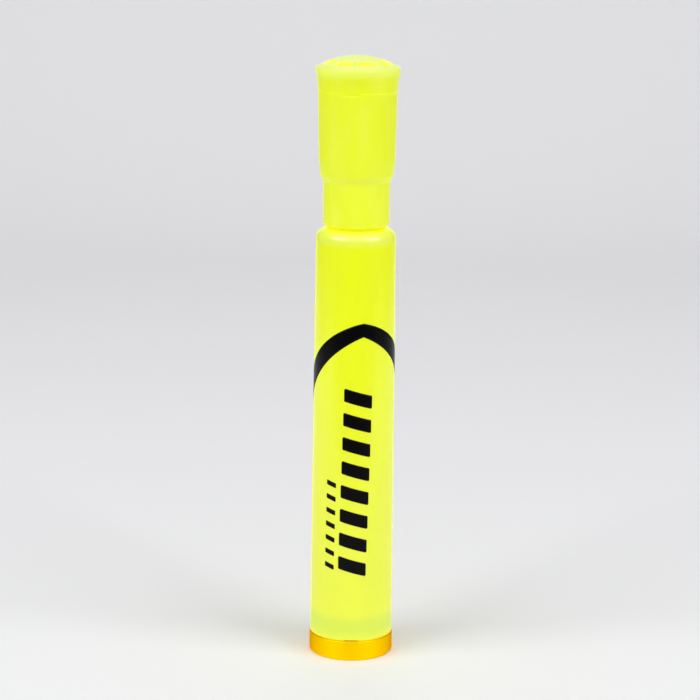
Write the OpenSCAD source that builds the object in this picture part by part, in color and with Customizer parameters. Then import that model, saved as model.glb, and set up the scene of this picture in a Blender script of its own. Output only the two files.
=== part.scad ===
// Retractable highlighter, standing on its turning ring with the cap on.
// +Z runs up the axis from the base to the crown of the cap, -Y faces the reader of the barrel,
// and the origin is the centre of the ring's flat underside. Millimetres.
//
// Turning the ring drives a left-hand spindle. The nut is keyed to a slotted sleeve, so it climbs
// and pushes the ink cartridge and its chisel nib out of the nose. A spring keeps the cartridge on the nut.

/* [Barrel] */
// Height of the barrel's shoulder above the base
barrel_h = 87.8; // [87:0.1:95]
// Outer radius of the barrel at its tail
tail_r = 8.42; // [8.3:0.01:8.48]
// Outer radius of the barrel below its shoulder
shoulder_r = 7.97; // [7.9:0.01:8.3]
// Radius of the round between barrel and shoulder
shoulder_round = 2.1; // [1.8:0.1:2.2]
// Radius of the barrel's straight bore
bore_r = 6.8; // [6.8:0.01:6.9]

/* [Turning ring] */
// Radius of the turning ring
ring_r = 8.5; // [8.5:0.05:9]
// Height of the turning ring
ring_h = 4; // [4:0.1:4.1]
// Radius of the round at the ring's foot
foot_round = 0.35; // [0.2:0.05:0.5]

/* [Cap] */
// Height of the cap from its lip to the top of its crown
cap_h = 33.4; // [33:0.1:35]
// Gap between the barrel's shoulder and the cap's lip
lip_gap = 0.6; // [0.5:0.05:1]
// Outer radius of the cap's skirt at the lip
skirt_r = 6.56; // [6.5:0.01:6.7]
// Height of the skirt
skirt_h = 8.7; // [8.6:0.1:9]
// Outer radius of the crown at its rim
crown_r = 8.34; // [8:0.01:8.4]
// Radius of the sphere that the crown's top is part of
dome_r = 15.8; // [15:0.1:18]
// Number of vent slots in the crown
vents = 8; // [4:2:12]
// Inner radius of the vent slots
vent_in = 5.1; // [4.5:0.1:5.5]
// Outer radius of the vent slots
vent_out = 6.8; // [6.2:0.1:6.8]

/* [Twist drive] */
// Travel of the nib from hidden to out
travel = 8; // [6:0.5:8]
// Lead of the two-start spindle thread
lead = 4; // [4:0.5:6]
// Radius over the spindle's thread
thread_r = 3; // [2.9:0.05:3]
// Gap between the threads of spindle and nut
thread_gap = 0.18; // [0.15:0.01:0.22]

/* [Nib] */
// Radius of the felt nib
nib_r = 2.45; // [2.2:0.05:2.45]
// Length of nib that stands out of its holder
nib_out = 5; // [4.5:0.1:5]
// Thickness of the nib's writing edge
nib_edge = 1.6; // [1.2:0.1:2]

/* [Hidden] */

round_fn = 96;          // facets of every turned surface; true round in the finished solids
eps = 0.01;             // overshoot of a cutting tool
slip = 0.02;            // radial gap of a press fit

yellow = "#EAF53F";
natural = "#F2F1E4";
gold = "#FFC81E";
steel = "#C9CBCE";
black = "#26262A";
ink = "#F4F23A";

// --- heights up the axis ---
seam = 0.15;                         // running gap between turning ring and barrel
tail_z = ring_h + seam;              // bottom of the barrel
hub_top_z = ring_h - 0.1;            // top of the hub's disc
bush_z = tail_z + 0.3;               // underside of the tail bush
bush_top_z = bush_z + 7.05;          // top of the tail bush
clip_z = bush_top_z + 0.1;           // underside of the hub's clip
stub_top_z = clip_z + 1.6;           // top of the hub's stub
screw_z = stub_top_z + 0.8;          // where the spindle's thread begins
nut_z = screw_z + 0.6;               // underside of the drive nut, nib hidden
nut_grip = 5;                        // threaded length of the nut
screw_top_z = nut_z + nut_grip + travel + 0.4;
refill_z = screw_top_z + 3;          // where the nut's sleeve meets the cartridge
lip_z = barrel_h + lip_gap;          // cap's lip
mouth_z = barrel_h + 17.2;           // front end of the nose
ledge_z = mouth_z - 13;              // spring's upper seat, inside the nose
nose_foot_z = barrel_h - 5.2;        // lower end of the nose
flange_z = nose_foot_z - travel - 0.3;   // top of the nib holder's flange, nib hidden
flange_t = 1.8;                      // thickness of that flange
tip_z = mouth_z - 1;                 // nib's tip, hidden
seat_z = lip_z + skirt_h - 0.1;      // top of the neck's step, which the cap's liner meets
crown_seam_z = lip_z + 26.5;         // seam between the cap's shell and crown
apex_z = lip_z + cap_h;              // top of the crown
rim_z = apex_z - 2.7;                // widest height of the crown

// --- radii ---
neck_r = 5.45;                       // nose's neck, inside the skirt
seat_r = 4.95;                       // nose's seat, inside the liner
mouth_bore_r = 5.6;                  // barrel's mouth, which the nose is pressed into
skirt_bore_r = 5.75;                 // inside of the cap's skirt
shell_bore_r = 6.45;                 // inside of the cap's upper half
liner_r = 5.7;                       // outside of the cap's liner
bush_r = 7.2;                        // outside of the tail bush
stub_r = 5.15;                       // hub's stub, turning in the bush
snout_r = 3.65;                      // nib holder's snout
snout_bore_r = 3.75;                 // nose's guide bore
sleeve_bore_r = 5.6;                 // guide sleeve's bore
refill_r = 5.4;                      // outside of the cartridge
refill_bore_r = 4.9;                 // inside of the cartridge
root_r = thread_r - 0.7;             // spindle's thread root
spring_r = 4.12;                     // mean radius of the spring
wire_r = 0.3;                        // radius of the spring's wire

// --- angles about the axis, from -Y towards +X ---
rib_turn = -4;                       // the crown's rib nearest the front
notch_turn = -9;                     // the crown's pry notch nearest the front

// Points of an arc, anticlockwise from angle a to angle b.
function arc(x, z, r, a, b, n = 8) =
    [for (i = [0 : n]) let (t = a + (b - a) * i / n) [x + r * cos(t), z + r * sin(t)]];

// Height of a sphere of radius r, whose top is at z, at the distance x from the axis.
function dome(z, r, x) = z - r + sqrt(r * r - x * x);

module lathe(points) {
    rotate_extrude($fn = round_fn) polygon(points);
}

// A plain tube from z0 to z1.
module tube(outer, inner, z0, z1) {
    lathe([[inner, z0], [outer, z0], [outer, z1], [inner, z1]]);
}

// A ring of round section, as an O-ring is.
module o_ring(mean, section, z) {
    translate([0, 0, z]) rotate_extrude($fn = round_fn) translate([mean, 0]) circle(section, $fn = 24);
}

// Section of the two-start thread: crest, flank, root and flank again, over half a turn.
module thread_section(root, crest) {
    steps = [[-18, crest], [0, crest], [18, crest], [52, root], [90, root], [128, root]];
    polygon([for (start = [0, 180], p = steps) p[1] * [cos(start + p[0]), sin(start + p[0])]]);
}

// The thread between z0 and z1. Left-handed, and in phase wherever it starts.
module thread(root, crest, z0, z1) {
    turns = (z1 - z0) / lead;
    translate([0, 0, z0])
        linear_extrude(height = z1 - z0, twist = 360 * turns, slices = ceil(20 * turns))
            rotate(-360 * z0 / lead) thread_section(root, crest);
}

// ---------- barrel ----------

module barrel_tube() {
    edge = 0.2;
    round_z = barrel_h - shoulder_round;
    color(yellow) lathe(concat(
        [[bush_r + slip, tail_z], [tail_r - edge, tail_z], [tail_r, tail_z + edge]],
        arc(shoulder_r - shoulder_round, round_z, shoulder_round, 0, 90),
        [[mouth_bore_r, barrel_h], [mouth_bore_r, barrel_h - 2.9], [bore_r, barrel_h - 3.6],
         [bore_r, bush_top_z + 0.1], [bush_r + slip, bush_top_z + 0.1]]));
}

module nose_cone() {
    plug_r = mouth_bore_r - slip;
    barb_r = 6;
    collar_r = 5.85;
    bead_z = lip_z + 4.6;
    color(yellow) difference() {
        lathe(concat(
            [[4.6, nose_foot_z], [plug_r - 0.3, nose_foot_z], [barb_r, nose_foot_z + 0.6],
             [barb_r, barrel_h - 3.6], [plug_r, barrel_h - 3.2], [plug_r, barrel_h],
             [collar_r, barrel_h], [collar_r, lip_z - 0.25], [neck_r, lip_z - 0.25]],
            arc(neck_r - 0.25, bead_z, 0.5, -60, 60, 6),
            [[neck_r, seat_z - 0.4], [seat_r, seat_z], [seat_r, seat_z + 2.4]],
            arc(4.2, mouth_z - 0.4, 0.4, 10, 90, 4),
            [[snout_bore_r + 0.2, mouth_z], [snout_bore_r, mouth_z - 0.3], [snout_bore_r, ledge_z],
             [4.6, ledge_z]]));
        tube(4.3, 3.5, mouth_z - 3.4, mouth_z - 2.6);   // groove of the nose seal
    }
}

module nose_seal() {
    color(black) o_ring(3.98, 0.3, mouth_z - 3);
}

module tail_bush() {
    color(natural) lathe([
        [stub_r + 0.05, bush_z + 0.3], [stub_r + 0.35, bush_z], [bush_r, bush_z],
        [bush_r, bush_top_z - 0.3], [bush_r - 0.3, bush_top_z], [stub_r + 0.05, bush_top_z]]);
}

// The nut's two keys slide in the sleeve's slots, whose ends stop the travel.
module guide_sleeve() {
    key_w = 3.3;
    color(natural) difference() {
        tube(bore_r - slip, sleeve_bore_r, clip_z + 1, refill_z + 2);
        for (side = [0, 180]) rotate(side)
            translate([0, -key_w / 2, nut_z - 0.3]) cube([9, key_w, nut_grip + travel + 0.6]);
    }
}

// --- compression spring, swept along its own helix ---
spring_turns = 9;
spring_steps = 18;                    // rings in one turn
spring_sides = 8;                     // points in one ring
spring_z0 = flange_z + wire_r + 0.02;
spring_z1 = ledge_z - wire_r - 0.02;
dead_rise = 2 * wire_r + 0.03;        // rise of the closed turn at each end

// Height of the wire after t turns: one closed turn at each end and open turns between.
function spring_z(t) =
    t < 1 ? spring_z0 + dead_rise * t
    : t > spring_turns - 1 ? spring_z1 - dead_rise * (spring_turns - t)
    : spring_z0 + dead_rise + (spring_z1 - spring_z0 - 2 * dead_rise) * (t - 1) / (spring_turns - 2);

module return_spring() {
    rings = spring_turns * spring_steps;
    points = [for (i = [0 : rings], k = [0 : spring_sides - 1])
        let (turn = 360 * i / spring_steps, side = 360 * k / spring_sides,
             r = spring_r + wire_r * cos(side))
        [r * cos(turn), r * sin(turn), spring_z(i / spring_steps) + wire_r * sin(side)]];
    sides = [for (i = [0 : rings - 1], k = [0 : spring_sides - 1])
        let (a = i * spring_sides, b = (i + 1) * spring_sides, next = (k + 1) % spring_sides)
        [a + k, b + k, b + next, a + next]];
    first = [for (k = [0 : spring_sides - 1]) k];
    last = [for (k = [spring_sides - 1 : -1 : 0]) rings * spring_sides + k];
    color(steel) polyhedron(points, concat(sides, [first, last]), convexity = 10);
}

// ---------- turning knob ----------

module turning_ring() {
    lip_r = 6.6;
    wall_r = 7.6;
    color(gold) lathe(concat(
        [[lip_r, 0]],
        arc(ring_r - foot_round, foot_round, foot_round, -90, 0, 6),
        [[ring_r, ring_h - 0.15], [ring_r - 0.15, ring_h], [wall_r, ring_h],
         [wall_r, 0.7], [lip_r, 0.7]]));
}

module knob_hub() {
    color(natural) difference() {
        lathe([
            [0, 0.7], [7.58, 0.7], [7.58, hub_top_z], [stub_r, hub_top_z],
            [stub_r, bush_z + 2.9], [4.05, bush_z + 2.9], [4.05, bush_z + 4.1], [stub_r, bush_z + 4.1],
            [stub_r, clip_z - 0.05], [4.4, clip_z - 0.05], [4.4, clip_z + 0.55],
            [stub_r, clip_z + 0.55], [stub_r, stub_top_z - 0.3], [stub_r - 0.3, stub_top_z],
            [0, stub_top_z]]);
        translate([0, 0, 3]) cylinder(r = 2.3, h = stub_top_z, $fn = 6);   // socket of the spindle's tang
    }
}

module base_pad() {
    color(black) lathe([[0, 0.25], [6.3, 0.25], [6.55, 0.45], [6.55, 0.7], [0, 0.7]]);
}

module drag_washer() {
    color(black) tube(7, 5.3, hub_top_z + 0.05, bush_z - 0.05);
}

module drag_o_ring() {
    color(black) o_ring(4.63, 0.55, bush_z + 3.5);
}

// A spring clip, open on one side, that keeps the hub in its bush.
module hub_clip() {
    color(steel) difference() {
        tube(6, 4.45, clip_z, clip_z + 0.5);
        translate([0, -2.6, clip_z - 1]) cube([9, 5.2, 3]);
        for (ear = [45, -45]) rotate(ear) translate([5.45, 0, clip_z - 1]) cylinder(r = 0.3, h = 3, $fn = 24);
    }
}

module spindle() {
    color(natural) {
        translate([0, 0, 3.02]) cylinder(r = 2.25, h = stub_top_z - 3, $fn = 6);
        lathe([[0, stub_top_z], [3.6, stub_top_z], [3.6, screw_z], [0, screw_z]]);
        thread(root_r, thread_r, screw_z - eps, screw_top_z);
        lathe([[0, screw_top_z - eps], [root_r - 0.1, screw_top_z - eps],
               [root_r - 0.1, screw_top_z + 0.6], [root_r - 0.5, screw_top_z + 1], [0, screw_top_z + 1]]);
    }
}

// ---------- cartridge ----------

module drive_nut() {
    key_w = 3;
    nut_r = 5.35;
    color(natural) difference() {
        union() {
            lathe([[0, nut_z], [nut_r, nut_z], [nut_r, refill_z - 0.3], [nut_r - 0.3, refill_z], [0, refill_z]]);
            intersection() {
                translate([-8, -key_w / 2, nut_z]) cube([16, key_w, nut_grip]);
                tube(6.45, 3.5, nut_z, nut_z + nut_grip);
            }
        }
        thread(root_r + thread_gap, thread_r + thread_gap, nut_z - 0.5, nut_z + nut_grip + 0.5);
        translate([0, 0, nut_z + nut_grip]) cylinder(r = 3.4, h = 30, $fn = round_fn);
    }
}

module cartridge_plug() {
    color(natural) lathe([
        [0, refill_z], [refill_r - 0.3, refill_z], [refill_r, refill_z + 0.3], [refill_r, refill_z + 1.2],
        [refill_bore_r - slip, refill_z + 1.2], [refill_bore_r - slip, refill_z + 4.6],
        [refill_bore_r - 0.3, refill_z + 5], [0, refill_z + 5]]);
}

module cartridge_tube() {
    color("#F6F5C8") tube(refill_r, refill_bore_r, refill_z + 1.2, flange_z - flange_t);
}

holder_z = flange_z - flange_t - 6.5;       // rear end of the nib holder
core_top_z = holder_z - 0.4;                // top of the reservoir
core_z = refill_z + 5.3;                    // bottom of the reservoir
nib_z = core_top_z - 5.6;                   // rear end of the nib, pushed into the reservoir

module ink_reservoir() {
    color(ink) difference() {
        lathe([[0, core_z], [4.4, core_z], [4.6, core_z + 0.2], [4.6, core_top_z], [0, core_top_z]]);
        translate([0, 0, nib_z - 0.1]) cylinder(r = nib_r + 0.05, h = 30, $fn = round_fn);
    }
}

module reservoir_film() {
    color("#FBFADC") tube(refill_bore_r - 0.05, 4.62, core_z, core_top_z);
}

module nib_holder() {
    spigot_r = refill_bore_r - slip;
    snout_top_z = tip_z - nib_out;
    seal_z = flange_z - flange_t - 3.4;
    color(natural) difference() {
        lathe([
            [nib_r + 0.03, holder_z], [spigot_r - 0.3, holder_z], [spigot_r, holder_z + 0.3],
            [spigot_r, seal_z - 0.5], [4.05, seal_z - 0.5], [4.05, seal_z + 0.5], [spigot_r, seal_z + 0.5],
            [spigot_r, flange_z - flange_t], [refill_r, flange_z - flange_t],
            [refill_r, flange_z - 0.2], [refill_r - 0.2, flange_z], [snout_r, flange_z],
            [snout_r, snout_top_z - 0.9], [snout_r - 0.4, snout_top_z],
            [nib_r + 0.03, snout_top_z]]);
        translate([0, 0, holder_z - 1]) cylinder(r = 3.45, h = 1.8, $fn = round_fn);   // seat of the nib retainer
    }
}

module holder_seal() {
    color(black) o_ring(4.46, 0.4, flange_z - flange_t - 3.4);
}

// A star washer that bites on the nib and stops it being pushed in.
module nib_retainer() {
    color(steel) translate([0, 0, holder_z + 0.1]) linear_extrude(0.4) difference() {
        circle(3.4, $fn = round_fn);
        circle(nib_r + 0.03, $fn = round_fn);
        for (tooth = [0 : 60 : 300]) rotate(tooth) translate([2.2, -0.2]) square([0.8, 0.4]);
    }
}

// Felt rod cut to a chisel: a wedge across Y, with its end sloping down towards -X.
module nib() {
    slope = 2.4;
    wedge = 4.4;
    color(ink) intersection() {
        lathe([[0, nib_z], [nib_r - 0.3, nib_z], [nib_r, nib_z + 0.3], [nib_r, tip_z], [0, tip_z]]);
        rotate([90, 0, 0]) translate([0, 0, -5]) linear_extrude(10)
            polygon([[-4, nib_z - 1], [4, nib_z - 1], [4, tip_z + 0.5],
                     [nib_r - 0.5, tip_z], [-nib_r, tip_z - slope], [-4, tip_z - slope - 0.6]]);
        rotate([90, 0, 90]) translate([0, 0, -5]) linear_extrude(10)
            polygon([[-4, nib_z - 1], [4, nib_z - 1], [4, tip_z - wedge - 0.8], [nib_r, tip_z - wedge],
                     [nib_edge / 2, tip_z], [-nib_edge / 2, tip_z], [-nib_r, tip_z - wedge],
                     [-4, tip_z - wedge - 0.8]]);
    }
}

// ---------- cap ----------

module cap_shell() {
    lip_round = 0.3;
    step_z = lip_z + skirt_h;
    color(yellow) difference() {
        lathe(concat(
            [[skirt_bore_r + 0.15, lip_z]],
            arc(skirt_r - lip_round, lip_z + lip_round, lip_round, -90, 0, 5),
            [[skirt_r + 0.1, step_z], [skirt_r + 0.7, step_z + 1.35], [skirt_r + 0.99, step_z + 4.4],
             [skirt_r + 1.24, crown_seam_z - 0.06], [skirt_r + 1.18, crown_seam_z],
             [shell_bore_r, crown_seam_z], [shell_bore_r, step_z + 1.5], [skirt_bore_r, step_z + 0.1],
             [skirt_bore_r, lip_z + 0.2]]));
        for (turn = [0 : 90 : 270]) rotate(turn + notch_turn)
            translate([-1.5, -9, crown_seam_z - 0.4]) cube([3, 1.9, 1]);   // pry notches under the crown
    }
}

module cap_crown() {
    wall = 1.2;
    rib_w = 0.8;
    inner_dome = dome_r - wall;
    color(yellow) difference() {
        lathe(concat(
            [[5.9, crown_seam_z - 5], [6.2, crown_seam_z - 5], [6.42, crown_seam_z - 4.7],
             [6.42, crown_seam_z], [crown_r - 0.6, crown_seam_z], [crown_r - 0.54, crown_seam_z + 0.06],
             [crown_r - 0.42, crown_seam_z + 1.6], [crown_r, rim_z],
             [crown_r - 0.03, rim_z + 0.25]],
            [for (x = [crown_r - 0.2 : -0.5 : 0.4]) [x, dome(apex_z, dome_r, x)]],
            [[0, apex_z], [0, apex_z - wall]],
            [for (x = [1 : 1 : 6]) [x, dome(apex_z - wall, inner_dome, x)]],
            [[6.8, dome(apex_z - wall, inner_dome, 6.8)], [6.8, crown_seam_z + 1], [5.9, crown_seam_z + 0.2]]));
        translate([0, 0, apex_z - 4.2]) linear_extrude(5) difference() {
            circle(vent_out, $fn = round_fn);
            circle(vent_in, $fn = round_fn);
            for (rib = [0 : 360 / vents : 359]) rotate(rib + rib_turn)
                translate([0, -rib_w / 2]) square([9, rib_w]);
        }
    }
}

module cap_liner() {
    top_z = crown_seam_z + 1.2;
    rib_w = 0.8;
    rib_h = crown_seam_z - 5.1 - (seat_z + 2.5);   // up to the crown's spigot
    bore_r = seat_r + 0.05;
    color(yellow) {
        lathe([
            [bore_r, seat_z + 0.3], [bore_r + 0.2, seat_z + 0.3], [liner_r, seat_z + 1.4],
            [liner_r, top_z - 0.8], [liner_r - 0.8, top_z], [0, top_z],
            [0, top_z - 0.8], [bore_r - 0.6, top_z - 0.8], [bore_r, top_z - 1.4]]);
        for (rib = [0 : 45 : 315]) rotate(rib)
            translate([liner_r - 0.1, -rib_w / 2, seat_z + 2.5])
                cube([shell_bore_r - slip - liner_r + 0.05, rib_w, rib_h]);
    }
}

barrel_tube();
nose_cone();
nose_seal();
tail_bush();
guide_sleeve();
return_spring();
turning_ring();
knob_hub();
base_pad();
drag_washer();
drag_o_ring();
hub_clip();
spindle();
drive_nut();
cartridge_plug();
cartridge_tube();
ink_reservoir();
reservoir_film();
nib_holder();
holder_seal();
nib_retainer();
nib();
cap_shell();
cap_crown();
cap_liner();
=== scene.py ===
# %% [markdown]
# # A twist-out highlighter, dressed for its picture
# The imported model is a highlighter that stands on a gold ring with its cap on. Turning the ring
# screws a chisel nib out of the nose, and the cap pulls straight off. The frame holds every piece at
# its true size. This script gives each visible piece a finer mesh or a better finish, and adds what
# only shows: the printing on the barrel, the spring as a real coil, and the studio.

# %% Load the frame
import math

import bmesh
import bpy
from mathutils import Matrix, Vector


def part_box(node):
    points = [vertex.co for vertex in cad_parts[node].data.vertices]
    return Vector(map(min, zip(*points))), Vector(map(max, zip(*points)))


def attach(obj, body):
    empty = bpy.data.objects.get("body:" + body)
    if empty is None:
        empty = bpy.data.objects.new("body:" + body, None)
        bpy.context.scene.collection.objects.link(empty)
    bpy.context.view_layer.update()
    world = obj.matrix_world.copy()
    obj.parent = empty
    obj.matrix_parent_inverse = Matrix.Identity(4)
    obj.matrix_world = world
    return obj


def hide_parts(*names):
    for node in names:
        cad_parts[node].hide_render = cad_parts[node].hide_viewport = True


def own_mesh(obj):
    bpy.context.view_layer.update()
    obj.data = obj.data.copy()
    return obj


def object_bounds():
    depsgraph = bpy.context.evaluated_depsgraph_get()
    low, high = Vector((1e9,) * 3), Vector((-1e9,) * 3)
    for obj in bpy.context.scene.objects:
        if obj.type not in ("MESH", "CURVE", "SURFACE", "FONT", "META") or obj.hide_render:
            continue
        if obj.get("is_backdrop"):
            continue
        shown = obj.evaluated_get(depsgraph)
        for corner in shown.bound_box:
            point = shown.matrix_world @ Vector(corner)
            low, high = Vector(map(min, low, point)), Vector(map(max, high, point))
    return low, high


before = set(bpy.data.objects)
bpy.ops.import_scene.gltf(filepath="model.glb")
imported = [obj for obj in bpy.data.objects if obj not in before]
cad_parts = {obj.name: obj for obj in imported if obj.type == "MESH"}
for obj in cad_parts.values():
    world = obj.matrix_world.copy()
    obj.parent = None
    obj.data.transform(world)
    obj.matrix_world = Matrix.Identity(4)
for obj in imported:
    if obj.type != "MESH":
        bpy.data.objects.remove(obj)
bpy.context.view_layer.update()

mm = 0.001
scene = bpy.context.scene

# %% [markdown]
# ## The camera
# A product picture of something tall and thin is taken from far off with a long lens, so that its
# sides stay nearly parallel. This camera stands 440 mm away and looks down a little, which shows the
# domed top and the curve of the ring. It leans by under a degree, as a hand-levelled tripod does.

# %% Place the camera
camera_away = 440.3 * mm
camera_height = 159.8 * mm
camera_aside = -0.9 * mm
look_down = math.radians(12.42)
camera_lean = math.radians(0.75)

camera = bpy.data.objects.new("camera", bpy.data.cameras.new("camera"))
camera.data.lens = 115.44
camera.data.sensor_width = 36
camera.data.clip_start = 10 * mm
camera.matrix_world = (Matrix.Translation((camera_aside, -camera_away, camera_height))
                       @ Matrix.Rotation(math.pi / 2 - look_down, 4, "X")
                       @ Matrix.Rotation(camera_lean, 4, "Z"))
scene.collection.objects.link(camera)
scene.camera = camera
print("camera", round(camera_away / mm), "mm away with a", round(camera.data.lens), "mm lens")

# %% [markdown]
# ## One helper for colours and one for nodes
# Colours are written as the hex values that a picture shows, and a shader works in linear light, so
# one function turns the first into the second. The other adds a node, sets what its panel would
# show, and joins its inputs. It serves material trees and geometry trees alike.

# %% Colour and node helpers
MIX_A, MIX_B, MIX_RESULT = 6, 7, 2          # the colour sockets of a Mix node


def linear(hex_colour):
    """Linear red, green, blue and alpha of an sRGB colour such as #EEF842."""
    channels = [int(hex_colour[i:i + 2], 16) / 255 for i in (1, 3, 5)]
    return [c / 12.92 if c <= 0.04045 else ((c + 0.055) / 1.055) ** 2.4 for c in channels] + [1]


def add(tree, kind, inputs=None, **settings):
    """Adds a node to a tree, with its settings, and each input as a value or a link."""
    node = tree.nodes.new(kind)
    for name, value in settings.items():
        setattr(node, name, value)
    for name, value in (inputs or {}).items():
        if isinstance(value, bpy.types.NodeSocket):
            tree.links.new(value, node.inputs[name])
        else:
            node.inputs[name].default_value = value
    return node


def new_finish(name, **shader_values):
    """A material with its tree, its shader and the piece's own coordinates in millimetres."""
    material = bpy.data.materials.new(name)
    material.use_nodes = True
    tree = material.node_tree
    shader = tree.nodes["Principled BSDF"]
    for socket, value in shader_values.items():
        shader.inputs[socket.replace("_", " ")].default_value = value
    coords = add(tree, "ShaderNodeTexCoord").outputs["Object"]
    place = add(tree, "ShaderNodeVectorMath", {0: coords, "Scale": 1 / mm}, operation="SCALE").outputs[0]
    return material, tree, shader, place


# %% [markdown]
# ## Fluorescent polypropylene
# Barrel and cap are moulded polypropylene with a fluorescent pigment. The pigment turns blue light
# into yellow-green, so the plastic looks brighter than paper: a little emission, a painted glow that
# shines in the shade too, stands for that.
# Light also travels a millimetre or two inside the wall, which keeps the shaded sides bright, and
# that is subsurface scattering. The mould leaves faint clouds where the melt flowed, long in the
# direction of flow, and a skin of fine ripples. Real ripples are finer than these, which are drawn
# as coarse as they need to be to show. The barrel's mould was polished and the cap's was left satin.
# The nose and the cap's liner are a deeper yellow with a strong painted glow, which stands for light
# that comes through the cap and barrel walls into the gap and the vents.

# %% Yellow plastics
cloud_size = 2.38           # mm across the flow
flow_stretch = 0.22         # clouds are this much slower to change along the flow
ripple_size = 0.714         # mm


def yellow_plastic(name, deep, pale, roughness, ripple, glow="#FCFF00", glow_strength=0.31, gloss=0.5):
    """Fluorescent plastic between two shades, with ripples of a depth in mm and a painted glow."""
    material, tree, shader, place = new_finish(
        name, Roughness=roughness, IOR=1.49, Subsurface_Weight=0.35, Subsurface_Scale=1.2 * mm,
        Emission_Strength=glow_strength, Specular_IOR_Level=gloss)
    shader.inputs["Subsurface Radius"].default_value = (1.0, 0.9, 0.1)
    # The emission is a painted glow, which shines in the shade as well as in the light.
    shader.inputs["Emission Color"].default_value = linear(glow)
    stretch = add(tree, "ShaderNodeMapping", {"Vector": place, "Scale": (1, 1, flow_stretch)}).outputs[0]
    noise = add(tree, "ShaderNodeTexNoise", {"Vector": stretch, "Scale": 1 / cloud_size,
                                             "Detail": 3.0}).outputs[0]
    clouds = add(tree, "ShaderNodeMapRange", {"Value": noise, "From Min": 0.3,
                                              "From Max": 0.7}).outputs[0]
    colour = add(tree, "ShaderNodeMix", {0: clouds, MIX_A: linear(deep), MIX_B: linear(pale)},
                 data_type="RGBA")
    tree.links.new(colour.outputs[MIX_RESULT], shader.inputs["Base Color"])
    ripples = add(tree, "ShaderNodeTexNoise", {"Vector": place, "Scale": 1 / ripple_size,
                                               "Detail": 3.0}).outputs[0]
    bump = add(tree, "ShaderNodeBump", {"Height": ripples, "Strength": 0.25, "Distance": ripple * mm})
    tree.links.new(bump.outputs[0], shader.inputs["Normal"])
    return material


polished_polypropylene = yellow_plastic("polished_polypropylene", "#D9E600", "#DDEA0C", 0.23, 0.03,
                                        gloss=1.0)
satin_polypropylene = yellow_plastic("satin_polypropylene", "#D7E62C", "#DDEA4E", 0.33, 0.05)
# A deeper yellow whose strong emission is a painted glow, for light let through the walls into the gap
# and vents.
deep_painted_glow_polypropylene = yellow_plastic("deep_painted_glow_polypropylene", "#898100", "#938800", 0.4, 0.03, "#F6FF00",
                                    0.66)
print("yellow plastics:", polished_polypropylene.name, satin_polypropylene.name, deep_painted_glow_polypropylene.name)

# %% [markdown]
# The barrel's wall is thin enough to show what is behind it. Towards the foot the colour is paler,
# a painted light that stands for the white surface it stands on lighting it, the tail bush makes a
# greener band just above the ring, and the shoulder has a painted milky sheen round its highlights.
# All three depend only on height: one map range works on the height, and two on the distance from
# the middle of a band.

# %% Height tints and painted light of the barrel
tree = polished_polypropylene.node_tree
shader = tree.nodes["Principled BSDF"]
clouded = shader.inputs["Base Color"].links[0].from_socket
coords = add(tree, "ShaderNodeTexCoord").outputs["Object"]
level = add(tree, "ShaderNodeSeparateXYZ", {0: coords}).outputs["Z"]
# Painted light from the white floor: paler towards the foot.
low = add(tree, "ShaderNodeMapRange", {"Value": level, "From Min": 70 * mm, "From Max": 12 * mm,
                                       "To Max": 0.6}, interpolation_type="SMOOTHSTEP").outputs[0]
painted_floor_light = add(tree, "ShaderNodeMix", {0: low, MIX_A: clouded, MIX_B: linear("#C4CE3A")}, data_type="RGBA")
below = add(tree, "ShaderNodeMath", {0: level, 1: 7.0 * mm}, operation="SUBTRACT").outputs[0]
off = add(tree, "ShaderNodeMath", {0: below}, operation="ABSOLUTE").outputs[0]
bush = add(tree, "ShaderNodeMapRange", {"Value": off, "From Min": 3.2 * mm, "From Max": 0.4 * mm,
                                        "To Max": 0.75}, interpolation_type="SMOOTHSTEP").outputs[0]
greener = add(tree, "ShaderNodeMix", {0: bush, MIX_A: painted_floor_light.outputs[MIX_RESULT],
                                      MIX_B: linear("#AACC46")}, data_type="RGBA")
# Painted sheen: a milky band round the shoulder's highlights.
above = add(tree, "ShaderNodeMath", {0: level, 1: 86.4 * mm}, operation="SUBTRACT").outputs[0]
beside = add(tree, "ShaderNodeMath", {0: above}, operation="ABSOLUTE").outputs[0]
painted_shoulder_sheen = add(tree, "ShaderNodeMapRange", {"Value": beside, "From Min": 1.9 * mm, "From Max": 0.5 * mm,
                                            "To Max": 0.6}, interpolation_type="SMOOTHSTEP").outputs[0]
with_shoulder_sheen = add(tree, "ShaderNodeMix", {0: painted_shoulder_sheen, MIX_A: greener.outputs[MIX_RESULT],
                                   MIX_B: linear("#D2E87C")}, data_type="RGBA")
tree.links.new(with_shoulder_sheen.outputs[MIX_RESULT], shader.inputs["Base Color"])
print("the barrel's plastic has", len(tree.nodes), "nodes")

# %% [markdown]
# The crown's top is looked at nearly edge on, and satin plastic goes milky there, since each ripple
# of its skin catches a little of the white room. Two paler colours paint that sheen into the colour:
# a faint one from just below the rim, and a stronger one on the dome. The second is multiplied by how
# far the surface faces up, so this painted sheen leaves out the walls of the vents, which see less
# of the room.

# %% Painted sheen on the crown's top
tree = satin_polypropylene.node_tree
shader = tree.nodes["Principled BSDF"]
clouded = shader.inputs["Base Color"].links[0].from_socket
coords = add(tree, "ShaderNodeTexCoord").outputs["Object"]
level = add(tree, "ShaderNodeSeparateXYZ", {0: coords}).outputs["Z"]
# Painted sheen, faint, from just below the rim.
near_rim = add(tree, "ShaderNodeMapRange", {"Value": level, "From Min": 117.4 * mm,
                                            "From Max": 118.8 * mm},
               interpolation_type="SMOOTHSTEP").outputs[0]
rim_painted_sheen = add(tree, "ShaderNodeMix", {0: near_rim, MIX_A: clouded, MIX_B: linear("#E0F274")},
            data_type="RGBA")
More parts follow.
